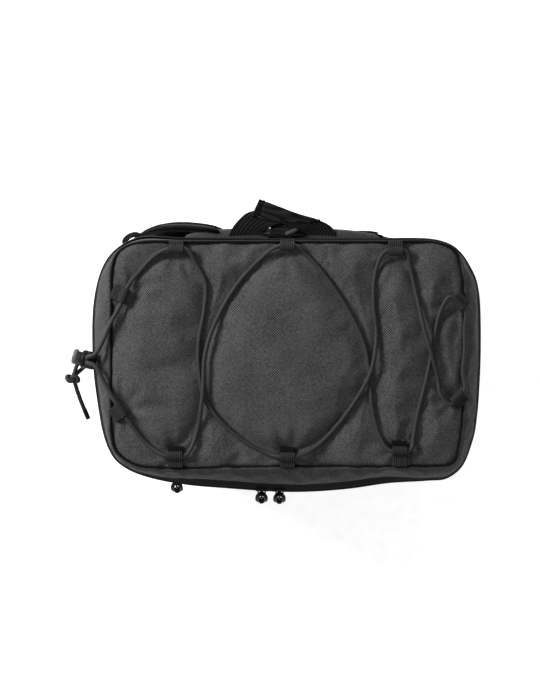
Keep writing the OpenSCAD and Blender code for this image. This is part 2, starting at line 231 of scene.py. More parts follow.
def frames_along(path, ups, closed=False):
    """The tangent, the across and the up direction at each point of a path."""
    if closed:
        ahead, behind = np.roll(path, -1, axis=0), np.roll(path, 1, axis=0)
    else:
        ahead = np.vstack([path[1:], path[-1:]])
        behind = np.vstack([path[:1], path[:-1]])
    t = unit(ahead - behind)
    if ups is None:  # carry one direction along, turning it as little as possible
        up = np.array([0.0, 0.0, 1.0]) if abs(t[0][2]) < 0.8 else np.array([0.0, 1.0, 0.0])
        made = []
        for d in t:
            up = unit(up - (up @ d) * d)
            made.append(up)
        ups = np.array(made)
    ups = np.broadcast_to(np.asarray(ups, float), path.shape)
    ups = unit(ups - np.sum(ups * t, axis=1, keepdims=True) * t)
    return t, np.cross(t, ups), ups


def sweep(name, path, section, material, ups=None, closed=False):
    """A closed section of (across, up) points carried along a path. The section may change from
    point to point."""
    path = np.asarray(path, float)
    section = np.broadcast_to(section, (len(path), *np.shape(section)[-2:]))
    _, across, up = frames_along(path, ups, closed)
    rows = (path[:, None] + section[..., :1] * across[:, None] + section[..., 1:] * up[:, None])
    if closed:
        return grid(name, np.vstack([rows, rows[:1]]), material, around=True)
    return grid(name, rows, material, around=True, ends=True)


def circle(radius, sides=12):
    """A round section."""
    a = np.arange(sides) * 2 * math.pi / sides
    return radius * np.column_stack([np.cos(a), np.sin(a)])


def strip(width, thick, ribs=0, depth=0.0):
    """A flat section with round edges, and ribs along it on both faces."""
    count = max(9, ribs * 6 + 1)
    x = np.linspace(-1, 1, count)
    half = thick / 2 * np.sqrt(np.clip(1 - np.abs(x) ** (width / thick), 0.02, 1))
    if ribs:
        half = half - depth * (0.5 + 0.5 * np.cos(math.pi * ribs * (x + 1)))
    top = np.column_stack([x * width / 2, half])
    return np.vstack([top, (top * (1, -1))[::-1][1:-1]])


def tube(name, path, radius, material, sides=12, closed=False):
    """A round tube along a path."""
    return sweep(name, path, circle(radius, sides), material, closed=closed)


def lathe(name, profile, origin, axis, material, sides=40):
    """A solid turned about an axis from a profile of (along the axis, radius) points."""
    profile = np.asarray(profile, float)
    path = np.asarray(origin, float) + profile[:, :1] * unit(np.asarray(axis, float))
    side = unit(np.cross(axis, (0, 0, 1) if abs(axis[2]) < 0.9 else (1, 0, 0)))
    other = np.cross(unit(np.asarray(axis, float)), side)
    ring = circle(1, sides)
    spokes = ring[:, :1] * side + ring[:, 1:] * other
    rows = path[:, None] + profile[:, 1, None, None] * spokes[None]
    return grid(name, rows, material, around=True, ends=True)


def stitches(name, lines, ups, material, step=3.4, length=2.5, width=0.7, high=0.35):
    """Rows of thread, each stitch a small lens lying on its line. `ups` is each line's way out."""
    points, faces = [], []
    for line, up in zip(lines, ups):
        line = np.asarray(line, float)
        both = even(np.hstack([line, np.broadcast_to(up, line.shape)]), step)
        line = both[:, :3]
        t, across, up = frames_along(line, both[:, 3:])
        for p, d, a, u in zip(line, t, across, up):
            n = len(points)
            points += [p - d * length / 2, p + d * length / 2]
            points += [p + a * width / 2, p + u * high, p - a * width / 2, p - u * high]
            for k in range(4):
                faces.append((n, n + 2 + k, n + 2 + (k + 1) % 4))
                faces.append((n + 1, n + 2 + (k + 1) % 4, n + 2 + k))
    return outward(make(name, points, faces, material, [(0, 0)] * (3 * len(faces))))


def painted_shade(outline, cell):
    """Triangles that fill a flat outline: points about every `cell` mm, faces, rim length."""
    rim = even(np.vstack([outline, outline[:1]]), cell, closed=True)
    low, high = rim.min(axis=0), rim.max(axis=0)
    x, y = np.meshgrid(np.arange(low[0], high[0], cell), np.arange(low[1], high[1], cell * 0.87))
    x[1::2] += cell / 2
    inner = np.column_stack([x.ravel(), y.ravel()])
    ring = np.vstack([rim, rim[:1]])
    inner = inner[inside(inner, rim) & (distance(inner, ring) > 0.6 * cell)]
    points = np.vstack([rim, inner])
    edges = [(i, (i + 1) % len(rim)) for i in range(len(rim))]
    verts, _, faces, *_ = delaunay_2d_cdt([Vector(p) for p in points], edges, [], 1, 1e-4)
    return np.array([tuple(v) for v in verts]), [tuple(f) for f in faces], len(rim)


def flat_uvs(points, faces):
    """UVs that are the flat points themselves, for each face corner."""
    return [tuple(points[i][:2]) for f in faces for i in f]


def cushion(name, outline, thick, place, material, edge, seams):
    """A padded closed form over a flat outline, flat below and crowned above, pulled in along its
    seams. `place` turns flat points and heights into frame points."""
    points, faces, rim = painted_shade(outline, 5)
    d = distance(points, np.vstack([outline, outline[:1]]))
    crown = np.sqrt(1 - (1 - np.clip(d / edge, 0, 1)) ** 2)
    top = thick * (0.3 + 0.7 * crown)
    for seam in seams:
        top *= 1 - 0.55 * np.exp(-((distance(points, seam) / 2.6) ** 2))
    top += 0.12 * thick * crown * ripple(np.column_stack([points, points[:, 0]]), 26)
    low = thick * 0.3 * (1 - crown)
    verts = np.vstack([place(points, top), place(points[rim:], low[rim:])])
    lower = [tuple(i if i < rim else i + len(points) - rim for i in f[::-1]) for f in faces]
    uvs = flat_uvs(points, faces) + [tuple(points[i]) for f in faces for i in f[::-1]]
    return outward(make(name, verts, faces + lower, material, uvs))


def coords(obj):
    """An object's points in mm."""
    made = np.zeros(len(obj.data.vertices) * 3)
    obj.data.vertices.foreach_get("co", made)
    return made.reshape(-1, 3) / MM


def billow(obj, hold, pressure, cap, grow=0.015):
    """Swells a panel of fabric with a cloth simulation. `hold` is how firmly each point is held,
    and no point moves further than `cap` mm."""
    group = obj.vertex_groups.new(name="held")
    for i, weight in enumerate(hold):
        if weight > 0.01:
            group.add([i], float(weight), "REPLACE")
    cloth = obj.modifiers.new("Cloth", "CLOTH")
    cloth.settings.quality = 4
    cloth.settings.use_pressure = True
    cloth.settings.uniform_pressure_force = pressure
    cloth.settings.shrink_min = -grow
    cloth.settings.vertex_group_mass = "held"
    cloth.settings.effector_weights.gravity = 0
    cloth.collision_settings.use_collision = False
    cloth.point_cache.frame_end = FRAMES
    for step in range(1, FRAMES + 1):
        scene.frame_set(step)
    before = coords(obj)
    moved = coords(obj.evaluated_get(bpy.context.evaluated_depsgraph_get())) - before
    obj.modifiers.remove(cloth)
    far = np.linalg.norm(moved, axis=1, keepdims=True)
    moved *= cap / np.maximum(cap + far, 1e-9) * 1.3
    obj.data.vertices.foreach_set("co", ((before + moved) * MM).ravel())
    obj.data.update()
    obj.vertex_groups.clear()
    scene.frame_set(1)


def thicken(obj, thick, offset=-1.0):
    """Gives a sheet its thickness, inward."""
    solid = obj.modifiers.new("thickness", "SOLIDIFY")
    solid.thickness = thick * MM
    solid.offset = offset
    return obj


def done(obj, body, slot, *nodes):
    """A finished piece: its body and the CAD nodes that it stands for; `slot`, its material slot, is
    not used.
    """
    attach(obj, body)
    if nodes:
        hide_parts(*nodes)
    return obj


# Materials -----------------------------------------------------------------------------------


class Finish:
    """A Principled material that is built up from procedural nodes."""

    def __init__(self, name, roughness, metallic=0.0, specular=0.5, sheen=0.0, coat=0.0):
        self.material = bpy.data.materials.new(name)
        self.material.use_nodes = True
        self.tree = self.material.node_tree
        self.main = self.tree.nodes["Principled BSDF"]
        self.main.inputs["Roughness"].default_value = roughness
        self.main.inputs["Metallic"].default_value = metallic
        self.main.inputs["Specular IOR Level"].default_value = specular
        self.main.inputs["Sheen Weight"].default_value = sheen
        self.main.inputs["Sheen Roughness"].default_value = 0.6
        self.main.inputs["Coat Weight"].default_value = coat

    def put(self, socket, value):
        if isinstance(value, bpy.types.NodeSocket):
            self.tree.links.new(value, socket)
        else:
            socket.default_value = value

    def math(self, operation, a, b=0.0):
        node = self.tree.nodes.new("ShaderNodeMath")
        node.operation = operation
        self.put(node.inputs[0], a)
        self.put(node.inputs[1], b)
        return node.outputs[0]

    def uv(self):
        """The two weave coordinates, in metres."""
        source = self.tree.nodes.new("ShaderNodeUVMap")
        source.uv_map = "weave"
        split = self.tree.nodes.new("ShaderNodeSeparateXYZ")
        self.tree.links.new(source.outputs[0], split.inputs[0])
        return split.outputs[0], split.outputs[1]

    def noise(self, size, detail=2.0):
        """Noise from 0 to 1 whose features are about `size` mm across."""
        place = self.tree.nodes.new("ShaderNodeTexCoord")
        node = self.tree.nodes.new("ShaderNodeTexNoise")
        node.inputs["Scale"].default_value = 1 / (size * MM)
        node.inputs["Detail"].default_value = detail
        self.tree.links.new(place.outputs["Object"], node.inputs["Vector"])
        return node.outputs[0]

    def cells(self, size):
        """Distance from the middle of the nearest cell, 0 to about 1."""
        place = self.tree.nodes.new("ShaderNodeTexCoord")
        node = self.tree.nodes.new("ShaderNodeTexVoronoi")
        node.inputs["Scale"].default_value = 1 / (size * MM)
        node.inputs["Randomness"].default_value = 0.35
        self.tree.links.new(place.outputs["Object"], node.inputs["Vector"])
        return node.outputs["Distance"]

    def wave(self, coordinate, pitch):
        """A sine from 0 to 1 that repeats every `pitch` mm."""
        turned = self.math("MULTIPLY", coordinate, 2 * math.pi / (pitch * MM))
        return self.math("MULTIPLY", self.math("ADD", self.math("SINE", turned), 1.0), 0.5)

    def blend(self, parts):
        """A weighted sum of (weight, height) pairs."""
        total = 0.0
        for weight, height in parts:
            total = self.math("ADD", total, self.math("MULTIPLY", height, weight))
        return total

    def colour(self, height, dark, light, low=0.0, high=1.0):
        """Colours from dark to light as the height goes from low to high."""
        ramp = self.tree.nodes.new("ShaderNodeValToRGB")
        ramp.color_ramp.elements[0].position = low
        ramp.color_ramp.elements[0].color = (*dark, 1)
        ramp.color_ramp.elements[1].position = high
        ramp.color_ramp.elements[1].color = (*light, 1)
        self.put(ramp.inputs[0], height)
        self.tree.links.new(ramp.outputs[0], self.main.inputs["Base Color"])
        return self

    def bump(self, height, depth, strength=0.8):
        """Relief whose full height is `depth` mm."""
        node = self.tree.nodes.new("ShaderNodeBump")
        node.inputs["Strength"].default_value = strength
        node.inputs["Distance"].default_value = depth * MM
        self.put(node.inputs["Height"], height)
        self.tree.links.new(node.outputs[0], self.main.inputs["Normal"])
        return self


def grey(value):
    """A neutral grey."""
    return (value, value, value)


def woven(name, value, pitch=1.2, contrast=0.95, roughness=0.85, sheen=0.05):
    """A woven polyester: over and under threads, slubs, and faint wear."""
    f = Finish(name, roughness, specular=0.12, sheen=sheen)
    u, v = f.uv()
    threads = f.math("MULTIPLY", f.math("SINE", f.math("MULTIPLY", u, math.pi / (pitch * MM))),
                     f.math("SINE", f.math("MULTIPLY", v, math.pi / (pitch * MM))))
    threads = f.math("ADD", f.math("MULTIPLY", threads, 0.5), 0.5)
    height = f.blend([(0.42, threads), (0.42, f.noise(1.9)), (0.16, f.noise(34))])
    f.colour(height, grey(value * (1 - contrast)), grey(value * (1 + contrast)), 0.3, 0.7)
    f.bump(threads, 0.3)
    return f.material


def webbing(name, value, pitch=1.6, contrast=0.5):
    """Flat webbing with ribs along its length and fine picks across."""
    f = Finish(name, 0.75, specular=0.05)
    u, v = f.uv()
    ribs = f.wave(u, pitch)
    picks = f.wave(v, 0.9)
    height = f.blend([(0.5, ribs), (0.25, picks), (0.25, f.noise(1.3))])
    f.colour(height, grey(value * (1 - contrast)), grey(value * (1 + contrast)), 0.2, 0.8)
    f.bump(height, 0.3)
    return f.material


def braided(name, value, pitch=2.2):
    """The braided cover of a shock cord: diamonds that cross as they run along."""
    f = Finish(name, 0.55, specular=0.2)
    u, v = f.uv()
    one = f.wave(f.math("ADD", u, v), pitch)
    two = f.wave(f.math("SUBTRACT", u, v), pitch)
    height = f.blend([(0.4, one), (0.4, two), (0.2, f.noise(1.1))])
    f.colour(height, grey(value * 0.45), grey(value * 1.5), 0.15, 0.8)
    f.bump(height, 0.3)
    return f.material


def spacer(name, value, size=2.6):
    """Spacer mesh: a net of round holes over darker padding."""
    f = Finish(name, 0.85, specular=0.1)
    net = f.cells(size)
    height = f.blend([(0.85, net), (0.15, f.noise(1.2))])
    f.colour(height, grey(value * 0.25), grey(value * 1.3), 0.2, 0.62)
    f.bump(net, 0.7)
    return f.material


def moulded(name, value, roughness, texture=0.9, coat=0.0, specular=0.3):
    """Moulded plastic with a fine spark-eroded grain and slightly paler handled patches."""
    f = Finish(name, roughness, specular=specular, coat=coat)
    height = f.blend([(0.5, f.noise(texture)), (0.5, f.noise(14))])
    f.colour(height, grey(value * 0.82), grey(value * 1.2), 0.3, 0.7)
    f.bump(f.noise(texture), 0.05, 0.4)
    return f.material


def painted_metal(name, value):
    """Black painted die-cast metal, worn a little brighter in patches."""
    f = Finish(name, 0.35, metallic=0.3, specular=0.35)
    height = f.blend([(0.6, f.noise(5, 4.0)), (0.4, f.noise(0.8))])
    f.colour(height, grey(value * 0.7), grey(value * 2.4), 0.42, 0.78)
    f.bump(f.noise(0.9), 0.04, 0.4)
    return f.material


def foam(name, value):
    """Open-cell foam."""
    f = Finish(name, 0.95, specular=0.2)
    net = f.cells(1.6)
    f.colour(net, grey(value * 0.5), grey(value * 1.2), 0.1, 0.7)
    f.bump(net, 0.4)
    return f.material


CLOTH = woven("pack_cloth", 0.056)
# The pack cloth again, made darker for the lid's boxing and the body's sides: painted shade on the
# faces that turn away from the light
CLOTH_SHADED = woven("pack_cloth_shaded", 0.043, contrast=0.8)
STRAP_CLOTH = woven("strap_cloth", 0.05, contrast=0.6)
BASE_CLOTH = woven("base_cloth", 0.022, pitch=1.6, contrast=0.5, roughness=0.6)
BINDING = webbing("binding", 0.006, pitch=1.1)
TAPE = webbing("zip_tape", 0.016, pitch=1.2)
WEBBING = webbing("webbing", 0.013, pitch=1.7, contrast=0.95)
LOOP_WEB = webbing("loop_webbing", 0.026, pitch=2.1, contrast=0.7)
CORD = braided("shock_cord", 0.028)
PULL_CORD = braided("pull_cord", 0.004, pitch=1.2)
THREAD = braided("thread", 0.03, pitch=0.6)
MESH = spacer("spacer_mesh", 0.02)
COIL = moulded("zip_coil", 0.007, 0.5, specular=0.15)
PLASTIC = moulded("black_plastic", 0.008, 0.45, specular=0.13)
BUTTON = moulded("button_plastic", 0.12, 0.28, coat=0.2)
BOARD = moulded("board", 0.02, 0.7)
SHEET = moulded("frame_plastic", 0.5, 0.45)
METAL = painted_metal("slider_metal", 0.012)
FOAM = foam("foam", 0.06)

# Bungee cord ---------------------------------------------------------------------------------

cord_d = 4.4
loop_w = 15
bore_r = 2.6
lie_z = panel_top + 2.5
over_z = panel_top + 7.2
edge_z = panel_top + 3.4
bore_z = panel_top + 5.4

# Each loop's bore: x, y, its outward angle, and how far its tab runs outward
LOOPS = [(-111, 114, 90, 5), (0, 117, 90, 3), (108, 112, 90, 7),
         (-112, -91, 270, 8), (0, -92, 270, 7), (112, -86, 270, 12),
         (-163, 68, 158, 9), (-166, -46, 214, 7), (170, 60, 45, 6), (169, -33, 315, 6)]


def through(k, way):
    """The straight stretch of cord through loop k."""
    x, y, angle, _ = LOOPS[k]
    reach = way * (loop_w / 2 + 3)
    dx, dy = math.sin(math.radians(angle)), -math.cos(math.radians(angle))
    return [(x + s * reach * dx, y + s * reach * dy, bore_z) for s in (-1, 1)]


CORD_ROUTE = [
    (-216, -12, 460), (-211, 2, 453), (-200, 6.6, 456), (-200, 6.6, 480), (-192, 10, 484),
    (-184, 24, 484), (-176, 42, 485), *through(6, 1), (-148, 92, lie_z), (-134, 107, lie_z),
    *through(0, 1), (-91, 99, lie_z), (-82, 80, lie_z), (-83, 56, lie_z), (-89, 20, lie_z),
    (-88, -10, lie_z), (-82, -36, lie_z), (-66, -58, lie_z), (-42, -78, lie_z),
    (-20, -89, lie_z), *through(4, -1), (28, -83, lie_z), (50, -61, lie_z), (69, -35, lie_z),
    (81, -13, over_z), (86, 4, over_z), (89, 30, lie_z), (86, 60, lie_z), (88, 92, lie_z),
    *through(2, 1), (122, 99, lie_z), (128, 72, lie_z), (136, 36, over_z), (144, 8, over_z),
    (150, -14, lie_z), (153, -31, 484), *through(9, -1), (175, -8, edge_z), (177, 14, edge_z),
    (177, 36, edge_z), *through(8, -1), (152, 50, lie_z), (146, 22, lie_z), (139, -14, lie_z),
    (130, -50, lie_z), (126, -72, lie_z), *through(5, 1), (92, -72, lie_z), (84, -40, lie_z),
    (82, -8, lie_z), (75, 24, lie_z), (57, 60, lie_z), (36, 90, lie_z), (18, 110, lie_z),
    *through(1, -1), (-28, 104, lie_z), (-50, 80, lie_z), (-66, 54, lie_z), (-78, 26, over_z),
    (-83, 4, over_z), (-84, -20, over_z), (-86, -42, over_z), (-90, -66, lie_z),
    *through(3, 1), (-140, -80, lie_z), *through(7, 1), (-182, -20, 485), (-192, -2, 484),
    (-200, 1.4, 480), (-200, 1.4, 456), (-208, -5, 452), (-217, -13, 452)]
TAIL = [(-216, -17, 452), (-213, -29, 446), (-209, -42, 438), (-204.5, -55, 429)]
KNOT = np.array([-217.0, -15.0, 456.0])

cord_line = curve(CORD_ROUTE, 2.4)
done(tube("bungee_cord_braided", cord_line, cord_d / 2, CORD, 14), "lid", "shock_cord",
     "bungee_cord")

tail_line = curve(TAIL, 2)
tail = done(tube("cord_tail", tail_line, cord_d / 2, CORD, 14), "lid", "shock_cord", "cord_knot")


def knot():
    """An overhand knot: the cord wound round itself, as a trefoil with the size of the knot."""
    a = np.linspace(0, 2 * math.pi, 72, endpoint=False)
    x = (np.sin(a) + 2 * np.sin(2 * a)) * 2.1
    y = (np.cos(a) - 2 * np.cos(2 * a)) * 1.8
    z = -np.sin(3 * a) * 2.6
    line = KNOT + np.column_stack([x, z, y])
    return tube("cord_knot_wound", line, cord_d / 2, CORD, 12, closed=True)


cord_knot = done(knot(), "lid", "shock_cord")
tip = done(tube("cord_tip", tail_line[-7:] + (0.4, -0.9, -0.7), cord_d / 2 + 0.25, PLASTIC),
           "lid", "black_plastic")

# Lid -----------------------------------------------------------------------------------------

# The lid's seams, anticlockwise from the middle of the back: the panel's edge, then the zip's
EDGES = [
    (0, 121.5, 0, 125), (-100, 121.5, -105, 126), (-150, 120.5, -153, 126),
    (-168, 112, -175, 113), (-175, 97, -186, 97), (-176, 62, -194.5, 63), (-176.5, 5, -195.5, 5),
    (-176, -42, -190.5, -40), (-176, -70, -184, -74), (-171, -87, -175, -94),
    (-157, -98.5, -160, -106), (-140, -103, -138, -114), (-104, -104, -103, -120.6),
    (-60, -103, -64, -124), (0, -102.5, 4, -128), (60, -102.5, 60, -125),
    (104, -102.5, 103, -119), (145, -102, 143, -116.5), (160, -101, 163, -114),
    (168, -95, 177, -102), (172, -78, 187, -76), (175, -50, 191, -52), (176, -20, 193, -28),
    (177, 20, 194.7, 17), (176, 70, 193, 72), (172, 102, 186, 95), (166, 114, 174, 113),
    (150, 120.5, 156, 123), (80, 121.5, 80, 125)]
edges = curve(np.array(EDGES, float), 3.6, closed=True)
edge_count = len(edges)
panel_edge = edges[:, :2]
zip_edge = edges[:, 2:]
panel_rim = np.vstack([panel_edge, panel_edge[:1]])
piping_z = panel_top - 1.2
off_panel = 40  # points of the cord's line, at each end, that are past the panel's edge
zipped = np.where(zip_edge[:, 1] < 112)[0]  # the main zip stops short of the back
front_share = ease((-zip_edge[:, 1] - 100) / 20) * ease((150 - np.abs(zip_edge[:, 0])) / 70)


def raised_to(flat, z):
    """Flat points lifted to a height."""
    return np.column_stack([flat, np.broadcast_to(z, len(flat))])


def outward_of(line):
    """The flat direction out of a closed anticlockwise outline, as 3-D vectors."""
    along = np.roll(line, -1, axis=0) - np.roll(line, 1, axis=0)
    return unit(np.column_stack([along[:, 1], -along[:, 0], np.zeros(len(line))]))


def lid_panel():
    """The top panel: pulled down under the cord and at the loops, swollen between them."""
    points, faces, rim = painted_shade(panel_edge, 3.2)
    to_edge = distance(points, panel_rim)
    to_cord = distance(points, cord_line[off_panel:-off_panel, :2])
    free = 1 - np.exp(-((to_cord / 15) ** 2))
    height = piping_z + 1.0 * ease(to_edge / 7)
    height += 6.2 * free * ease(to_edge / 34)
    flat = np.column_stack([points, np.zeros(len(points))])
    height += 2.2 * free * ripple(flat, 46) + 1.0 * free * ripple(flat + 91, 19)
    for x, y, angle, _ in LOOPS:
        out = np.array([math.cos(math.radians(angle)), math.sin(math.radians(angle))])
        away = np.linalg.norm(points - (np.array([x, y]) - 7 * out), axis=1)
        height -= 3.0 * np.exp(-((away / 10) ** 2))
        bearing = np.arctan2(points[:, 1] - y, points[:, 0] - x)
        creases = np.sin(bearing * 9 + x) * np.exp(-((away - 18) / 14) ** 2)
        height += 1.1 * creases
    # The creased band in the front right corner
    across = (points - (126, -84)) @ np.array([0.75, 0.66])
    along = (points - (126, -84)) @ np.array([0.66, -0.75])
    band = np.exp(-((across / 9) ** 2) - (along / 22) ** 2)
    height += 1.3 * band * np.sin(across * 1.3)
    obj = make("lid_panel_cloth", np.column_stack([points, height]), faces, CLOTH,
               flat_uvs(points, faces))
    hold = np.clip(1.5 - to_cord / 4, 0, 1)
    hold[:rim] = 1
    billow(obj, hold, 2.2, 5)
    return thicken(obj, 1.2)


done(lid_panel(), "lid", "pack_cloth", "lid_panel")

tape_top = zip_z + 10.6
tape_in = 3.4 + 4.6 * front_share  # the zip's tape turns up to the front's middle
out_dir = outward_of(zip_edge)
seam_edge = raised_to(zip_edge, tape_top) - out_dir * tape_in[:, None]


def rounded_over(top, low, t):
    """The boxing's section: from the piping at t = 0, over and down to the zip's tape at t = 1."""
    a = t * math.pi / 2
    reach = 0.55 * math.sin(a) + 0.45 * t
    drop = 0.6 * (1 - math.cos(a)) + 0.4 * t
    return top + (low - top) * np.array([reach, reach, drop])


def lid_boxing():
    """The lid's side: a band of cloth from the panel's piping down to the zip, rounded over."""
    top = raised_to(panel_edge, piping_z)
    rows = np.array([rounded_over(top, seam_edge, t) for t in np.linspace(0, 1, 12)])
    flat = rows.reshape(-1, 3)
    fade = np.repeat(np.sin(np.linspace(0, math.pi, 12)), edge_count)
    outs = np.tile(out_dir, (12, 1)) + (0, 0, 0.6)
    folds = (0.9 * ripple(flat, 38) + 0.5 * ripple(flat + 77, 15)) * (flat[:, 1] < 108)
    flat = flat + outs * (fade * folds)[:, None]
    # The boxing takes the darker copy of the pack cloth, with painted shade
    obj = grid("lid_boxing_cloth", flat.reshape(12, -1, 3), CLOTH_SHADED, around=True)
    hold = np.zeros(len(flat))
    hold[:edge_count] = 1
    hold[-edge_count:] = 1
    hold = np.maximum(hold, flat[:, 1] > 114)  # flat over the haul handle
    billow(obj, hold, 1.6, 3)
    return thicken(obj, 2.4)


done(lid_boxing(), "lid", "pack_cloth", "lid_boxing")

# The upright seams take the boxing's darker cloth, with painted shade
for spot in (10, 19):  # the boxing's two upright seams, at these rows of EDGES
    at = int(np.argmin(np.linalg.norm(panel_edge - np.array(EDGES[spot][:2]), axis=1)))
    high = np.array([*panel_edge[at], piping_z])
    line = [rounded_over(high, seam_edge[at], t) + (0, 0, 1) for t in np.linspace(0.032, 0.955, 14)]
    done(tube(f"boxing_seam_{spot}", line, 1.1, CLOTH_SHADED, 8), "lid", "pack_cloth")

piping = tube("lid_piping_round", raised_to(panel_edge, piping_z + 0.6) + out_dir * 0.3, 1.5,
              BINDING, 10, closed=True)
done(piping, "lid", "binding", "lid_piping")


def on_zip(z, out):
    """The zip's line at a height, `out` mm outside the edge."""
    return raised_to(zip_edge, z)[zipped] + out_dir[zipped] * np.reshape(out, (-1, 1))


def teeth(name, line, pitch=2.4, phase=0.0):
    """One side of a coil zip: a row of small round-nosed teeth along a line, pointing outward."""
    line = even(line, pitch)
    t, o, _ = frames_along(line, (0, 0, 1))
    o = o * np.sign(np.sum(o * line * (1, 1, 0), axis=1, keepdims=True))
    section = np.array([(-0.9, 0.0), (-0.75, 0.9), (0.0, 1.25), (0.75, 0.9), (0.9, 0.0),
                        (0.75, -0.7), (-0.75, -0.7)])
    points, faces = [], []
    for p, d, out in zip(line + t * phase, t, o):
        n = len(points)
        for depth, grow in ((0.0, 0.9), (1.6, 1.0), (2.3, 0.75)):
            for a, b in section * grow:
                points.append(p + d * a + np.array([0, 0, b]) + out * depth)
        for r in range(2):
            for k in range(7):
                m = (k + 1) % 7
                faces.append((n + 7 * r + k, n + 7 * r + m, n + 7 * r + 7 + m, n + 7 * r + 7 + k))
        faces.append(tuple(range(n, n + 7)))
        faces.append(tuple(range(n + 14, n + 21)))
    corners = sum(len(f) for f in faces)
    return outward(make(name, points, faces, COIL, [(0, 0)] * corners))


def main_zip():
    """The zip's two tapes and its two rows of teeth, round the front and the sides."""
    seam, low = seam_edge[zipped], on_zip(zip_z + 1.6, 0.9)
    rows = [seam + (low - seam) * t for t in np.linspace(-0.08, 1, 5)]
    done(thicken(grid("lid_zip_tape_woven", rows, TAPE), 0.8), "lid", "zip_tape", "lid_zip_tape")
    rows = [on_zip(zip_z - 1.8, 0.9), on_zip(zip_z - 6, 0.9), on_zip(zip_z - 11.8, 0.9)]
    done(thicken(grid("body_zip_tape_woven", rows, TAPE), 0.8), "pack", "zip_tape",
         "body_zip_tape")
    upper = teeth("lid_zip_coil", on_zip(zip_z + 0.9, 0.4))
    done(upper, "lid", "zip_coil", "lid_zip_teeth")
    lower = teeth("body_zip_coil", on_zip(zip_z - 0.9, 0.4), phase=1.2)
    done(lower, "pack", "zip_coil", "body_zip_teeth")
    roll = tube("lid_tape_fold", seam + out_dir[zipped] * 0.5, 0.9, BINDING, 8)
    done(roll, "lid", "binding")
    thread = stitches("lid_zip_stitches", [seam - out_dir[zipped] * 1.8 + (0, 0, 1.2)],
                      [out_dir[zipped] + (0, 0, 1)], THREAD)
    done(thread, "lid", "binding")


main_zip()


def cord_loop(k):
    """A webbing loop folded round the cord, its two layers sewn down with a bar of thread."""
    x, y, angle, tab = LOOPS[k]
    reach = bore_r + 1.6 + tab
    side = [(reach, -4.4), (reach * 0.6, -3.5), (0.5, -3.4), (-2.3, -2.5), (-3.4, 0), (-2.3, 2.4),
            (0, 3.4), (2.6, 2.5), (4.4, 0.2), (5.6, -1.4), (reach * 0.9, -2.1), (reach, -2.6)]
    out = np.array([math.cos(math.radians(angle)), math.sin(math.radians(angle)), 0])
    across = np.array([-out[1], out[0], 0])
    centre = np.array([x, y, bore_z])
    flat = curve(np.array([(a, b, 0) for a, b in side], float), 0.8)
    path = centre + flat[:, :1] * out + flat[:, 1:2] * (0, 0, 1)
    ahead = np.vstack([path[1:], path[-1:]]) - np.vstack([path[:1], path[:-1]])
    obj = sweep(f"cord_loop_{k + 1}_webbing", path, strip(loop_w, 1.3, 7, 0.22), LOOP_WEB,
                ups=np.cross(unit(ahead), across))
    done(obj, "lid", "webbing", f"cord_loop_{k + 1}")
    seams = [centre + out * r + across * s + (0, 0, -0.9)
             for r in (5.4, 6.4) for s in (-6.4, 6.4)]
    thread = stitches(f"cord_loop_{k + 1}_tack", [seams[0:2], seams[2:4]], [(0, 0, 1)] * 2,
                      THREAD, step=0.9, length=1.4, width=0.6, high=0.4)
    done(thread, "lid", "webbing")


def loop_shade_sheet(k):
    """A black sheet under a front loop's mouth: painted shade, standing in for the shadow in the loop's
    fold.
    """
    x, y, _, _ = LOOPS[k]
    line = [(x, y + 9, panel_top + 0.8), (x, y + 4, panel_top + 1.6), (x, y - 4, panel_top + 1.2)]
    obj = sweep(f"cord_loop_{k + 1}_patch", curve(line, 1), strip(loop_w, 1.2, 8, 0.15), BINDING,
                ups=(0, 0, 1))
    done(obj, "lid", "binding")


for index in range(len(LOOPS)):
    cord_loop(index)
# Painted shade: a black sheet under each of the three front loops
for index in (3, 4, 5):
    loop_shade_sheet(index)

# Cord lock -----------------------------------------------------------------------------------

lock_at = np.array([-200.0, 4.0, 468.0])
lock_axis = np.array([math.cos(math.radians(165)), math.sin(math.radians(165)), 0])
barrel = lathe("cord_lock_body", [(-7.5, 0.5), (-7.5, 6.4), (-6.9, 8), (-5.6, 8.8), (-3, 9),
                                  (-2.6, 8.5), (-2.2, 9), (2.2, 9), (2.6, 8.5), (3, 9),
                                  (5.6, 8.9), (7, 8.4), (7.5, 7.6), (7.5, 6.7), (3, 6.7), (3, 1)],
               lock_at, lock_axis, PLASTIC)
done(barrel, "lid", "black_plastic", "cord_lock_barrel")
button = lathe("cord_lock_cap", [(7.2, 1), (7.2, 6.2), (11.8, 6.2), (12, 7.4), (12.6, 7.9), (14.8, 7.9),
                                 (16, 7.4), (16.6, 6.2), (16.2, 4.4), (15.9, 1)],
               lock_at, lock_axis, BUTTON)
done(button, "lock_button", "button_plastic", "cord_lock_button")
for place in (6.6, 1.4):
    for high in (459.6, 476.4):
        ring_line = circle(2.7, 24)
        ring_line = np.column_stack([ring_line[:, 0] - 200, ring_line[:, 1] + place,
                                     np.full(24, high)])
        rim = tube(f"lock_eye_{place:g}_{high:g}".replace(".", "_"), ring_line, 0.6, PLASTIC, 8,
                   closed=True)
        done(rim, "lid", "black_plastic")

# Body ----------------------------------------------------------------------------------------

body_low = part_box("base_panel")[1].z / MM - 2
body_high = zip_z - 1.2
# Where the body's upright seams are, as shares of the way round from the middle of the back
back_corner = 0.115
front_corner = 0.375
# The front wall's arc, seen from above: its radius, and where its centre is along Y
front_r = 739.53
arc_y = 614.53


